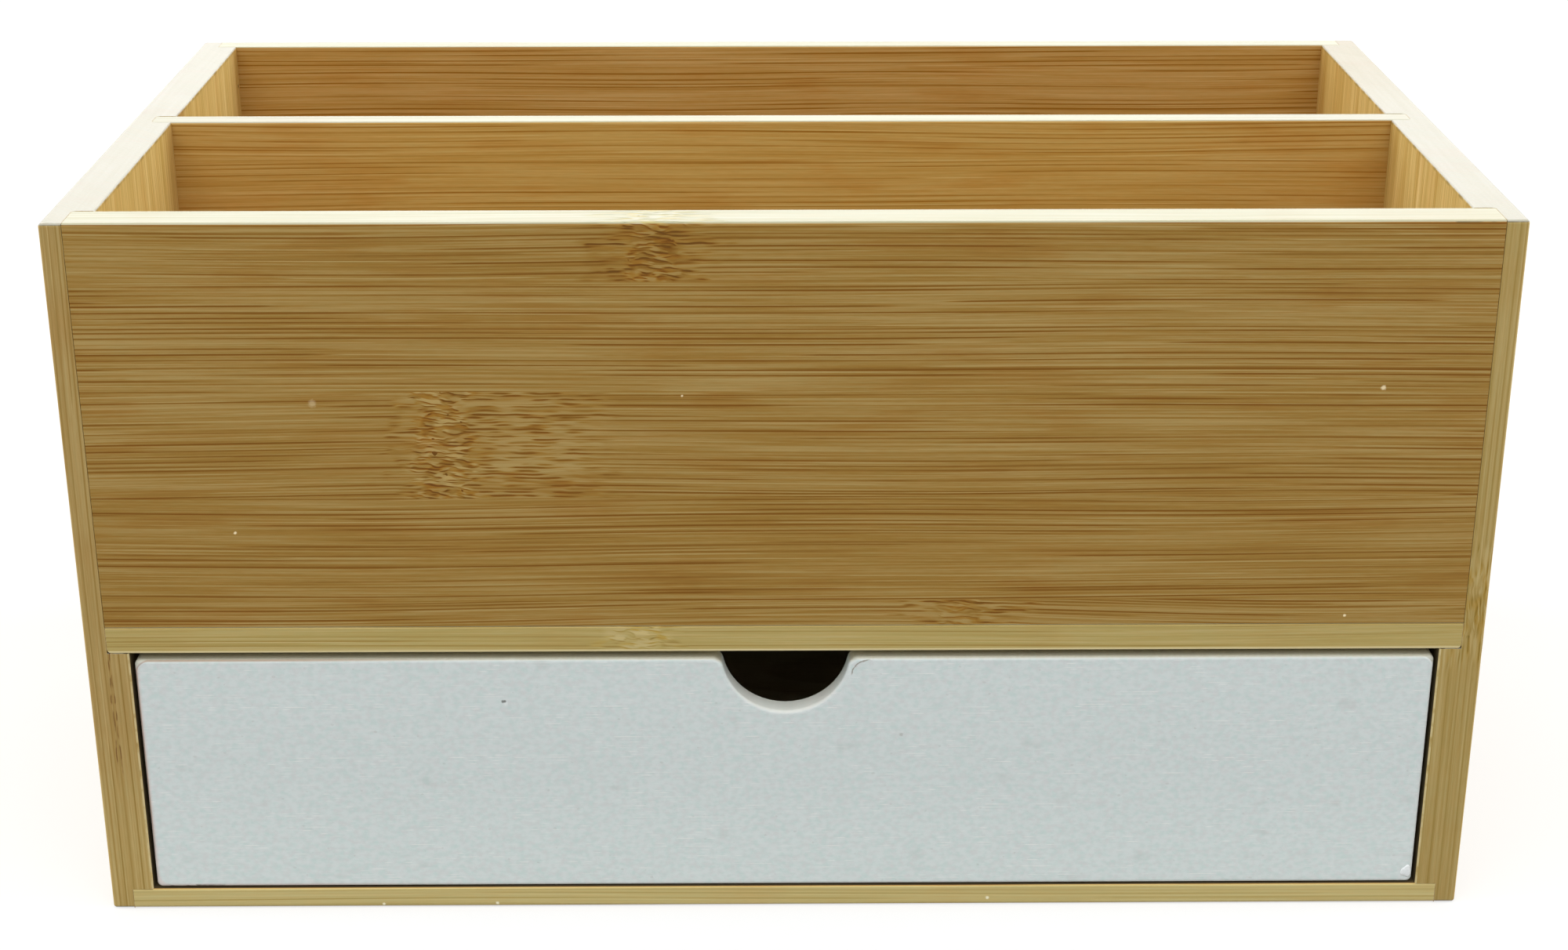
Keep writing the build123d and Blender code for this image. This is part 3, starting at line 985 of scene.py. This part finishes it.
def drop_outline(turn):
    """The radius of the drop, about 1, which is largest where the paint ran to."""
    return 1.04 + 0.15 * math.cos(3 * (turn - 1.25)) + 0.05 * math.cos(5 * turn)


def add_paint_drop():
    """A dried drop of paint that ran together near the drawer front's lower right corner."""
    low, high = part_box("drawer_front")
    centre = Vector((high.x - 1.15 * MM, low.y, low.z + 2.2 * MM))
    half_width = 0.92
    half_height = 1.15
    peak = -0.18
    profile = ((1.0, 0.10), (1.0, -0.03), (0.80, -0.11), (0.45, -0.16))    # share of the radius, depth
    points = 36
    mesh = bmesh.new()
    rings = []
    for share, depth in profile:
        ring = []
        for step in range(points):
            turn = math.tau * step / points
            radius = share * drop_outline(turn)
            offset = Vector((radius * half_width * math.cos(turn), depth,
                             radius * half_height * math.sin(turn)))
            ring.append(mesh.verts.new(centre + offset * MM))
        rings.append(ring)
    for outer, inner in zip(rings, rings[1:]):
        for step in range(points):
            following = (step + 1) % points
            mesh.faces.new((outer[step], outer[following], inner[following], inner[step]))
    top = mesh.verts.new(centre + Vector((0.0, peak, 0.0)) * MM)
    for step in range(points):
        mesh.faces.new((rings[-1][step], rings[-1][(step + 1) % points], top))
    mesh.faces.new(list(reversed(rings[0])))
    for face in mesh.faces:
        face.smooth = True
    drop = place_piece("paint_drop", mesh, wet_paint("paint_drop", 16.0))
    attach(drop, "drawer")


# ---------------------------------------------------------------- studio

def add_camera():
    data = bpy.data.cameras.new("camera")
    data.lens = CAMERA_LENS
    data.sensor_width = SENSOR_WIDTH
    camera = bpy.data.objects.new("camera", data)
    camera.location = CAMERA_PLACE
    camera.rotation_euler = (math.radians(90 - CAMERA_PITCH), 0.0, math.radians(-CAMERA_YAW))
    bpy.context.scene.collection.objects.link(camera)
    bpy.context.scene.camera = camera


def seen_directly(tree):
    """1 for rays from the camera and for mirrored and refracted ones."""
    path = tree.nodes.new("ShaderNodeLightPath")
    first = tree.nodes.new("ShaderNodeMath")
    first.operation = "MAXIMUM"
    second = tree.nodes.new("ShaderNodeMath")
    second.operation = "MAXIMUM"
    tree.links.new(path.outputs["Is Camera Ray"], first.inputs[0])
    tree.links.new(path.outputs["Is Glossy Ray"], first.inputs[1])
    tree.links.new(first.outputs[0], second.inputs[0])
    tree.links.new(path.outputs["Is Transmission Ray"], second.inputs[1])
    return second.outputs[0]


def add_world():
    world = bpy.data.worlds.new("studio")
    bpy.context.scene.world = world
    world.use_nodes = True
    tree = world.node_tree
    background = tree.nodes["Background"]
    background.inputs["Color"].default_value = WHITE
    strength = tree.nodes.new("ShaderNodeMapRange")
    strength.inputs["To Min"].default_value = SKY_STRENGTH
    strength.inputs["To Max"].default_value = 1.0
    tree.links.new(seen_directly(tree), strength.inputs["Value"])
    tree.links.new(strength.outputs[0], background.inputs["Strength"])


def floor_material():
    """Matt pale grey that glows for the camera and reflections alone, so that it shows as white."""
    material = bpy.data.materials.new("studio_floor")
    material.use_nodes = True
    tree = material.node_tree
    shader = tree.nodes["Principled BSDF"]
    shader.inputs["Base Color"].default_value = (FLOOR_WHITENESS,) * 3 + (1.0,)
    shader.inputs["Roughness"].default_value = 1.0
    shader.inputs["Specular IOR Level"].default_value = 0.0
    shader.inputs["Emission Color"].default_value = WHITE
    glow = tree.nodes.new("ShaderNodeMath")
    glow.operation = "MULTIPLY"
    glow.inputs[1].default_value = FLOOR_GLOW
    tree.links.new(seen_directly(tree), glow.inputs[0])
    tree.links.new(glow.outputs[0], shader.inputs["Emission Strength"])
    return material


def add_floor():
    mesh = bpy.data.meshes.new("studio_floor")
    height = cad_box[0].z - FLOOR_GAP
    corners = [(x * FLOOR_HALF, y * FLOOR_HALF, height) for x, y in ((-1, -1), (1, -1), (1, 1), (-1, 1))]
    mesh.from_pydata(corners, [], [(0, 1, 2, 3)])
    mesh.materials.append(floor_material())
    floor = bpy.data.objects.new("studio_floor", mesh)
    bpy.context.scene.collection.objects.link(floor)


def add_softbox(name, place, width, height, brightness):
    """A large soft lamp that looks at the middle of the object; brightness 1 is as bright as white."""
    data = bpy.data.lights.new(name, "AREA")
    data.shape = "RECTANGLE"
    data.size = width
    data.size_y = height
    data.energy = brightness * width * height * math.pi
    lamp = bpy.data.objects.new(name, data)
    target = (cad_box[0] + cad_box[1]) / 2
    lamp.location = place
    lamp.rotation_euler = (Vector(place) - target).to_track_quat("Z", "Y").to_euler()
    lamp.visible_camera = False
    bpy.context.scene.collection.objects.link(lamp)


def add_light():
    add_softbox("overhead_softbox", place=(0.0, -0.75, 1.3), width=2.4, height=1.6, brightness=1.8)
    add_softbox("back_softbox", place=(0.0, 1.6, 0.75), width=2.2, height=0.8, brightness=3.0)
    add_softbox("front_softbox", place=(0.0, -1.7, 0.5), width=1.2, height=0.8, brightness=0.3)
    add_softbox("left_softbox", place=(-1.7, 0.1, 0.7), width=1.2, height=0.8, brightness=6.0)
    add_softbox("right_softbox", place=(1.7, 0.1, 0.7), width=1.2, height=0.8, brightness=6.0)


bpy.context.scene.view_settings.view_transform = "Standard"
add_camera()
add_world()
add_floor()
add_light()
dress_panels()
dress_sides()
dress_floors()
dress_drawer()
add_glue()
add_paint_drop()
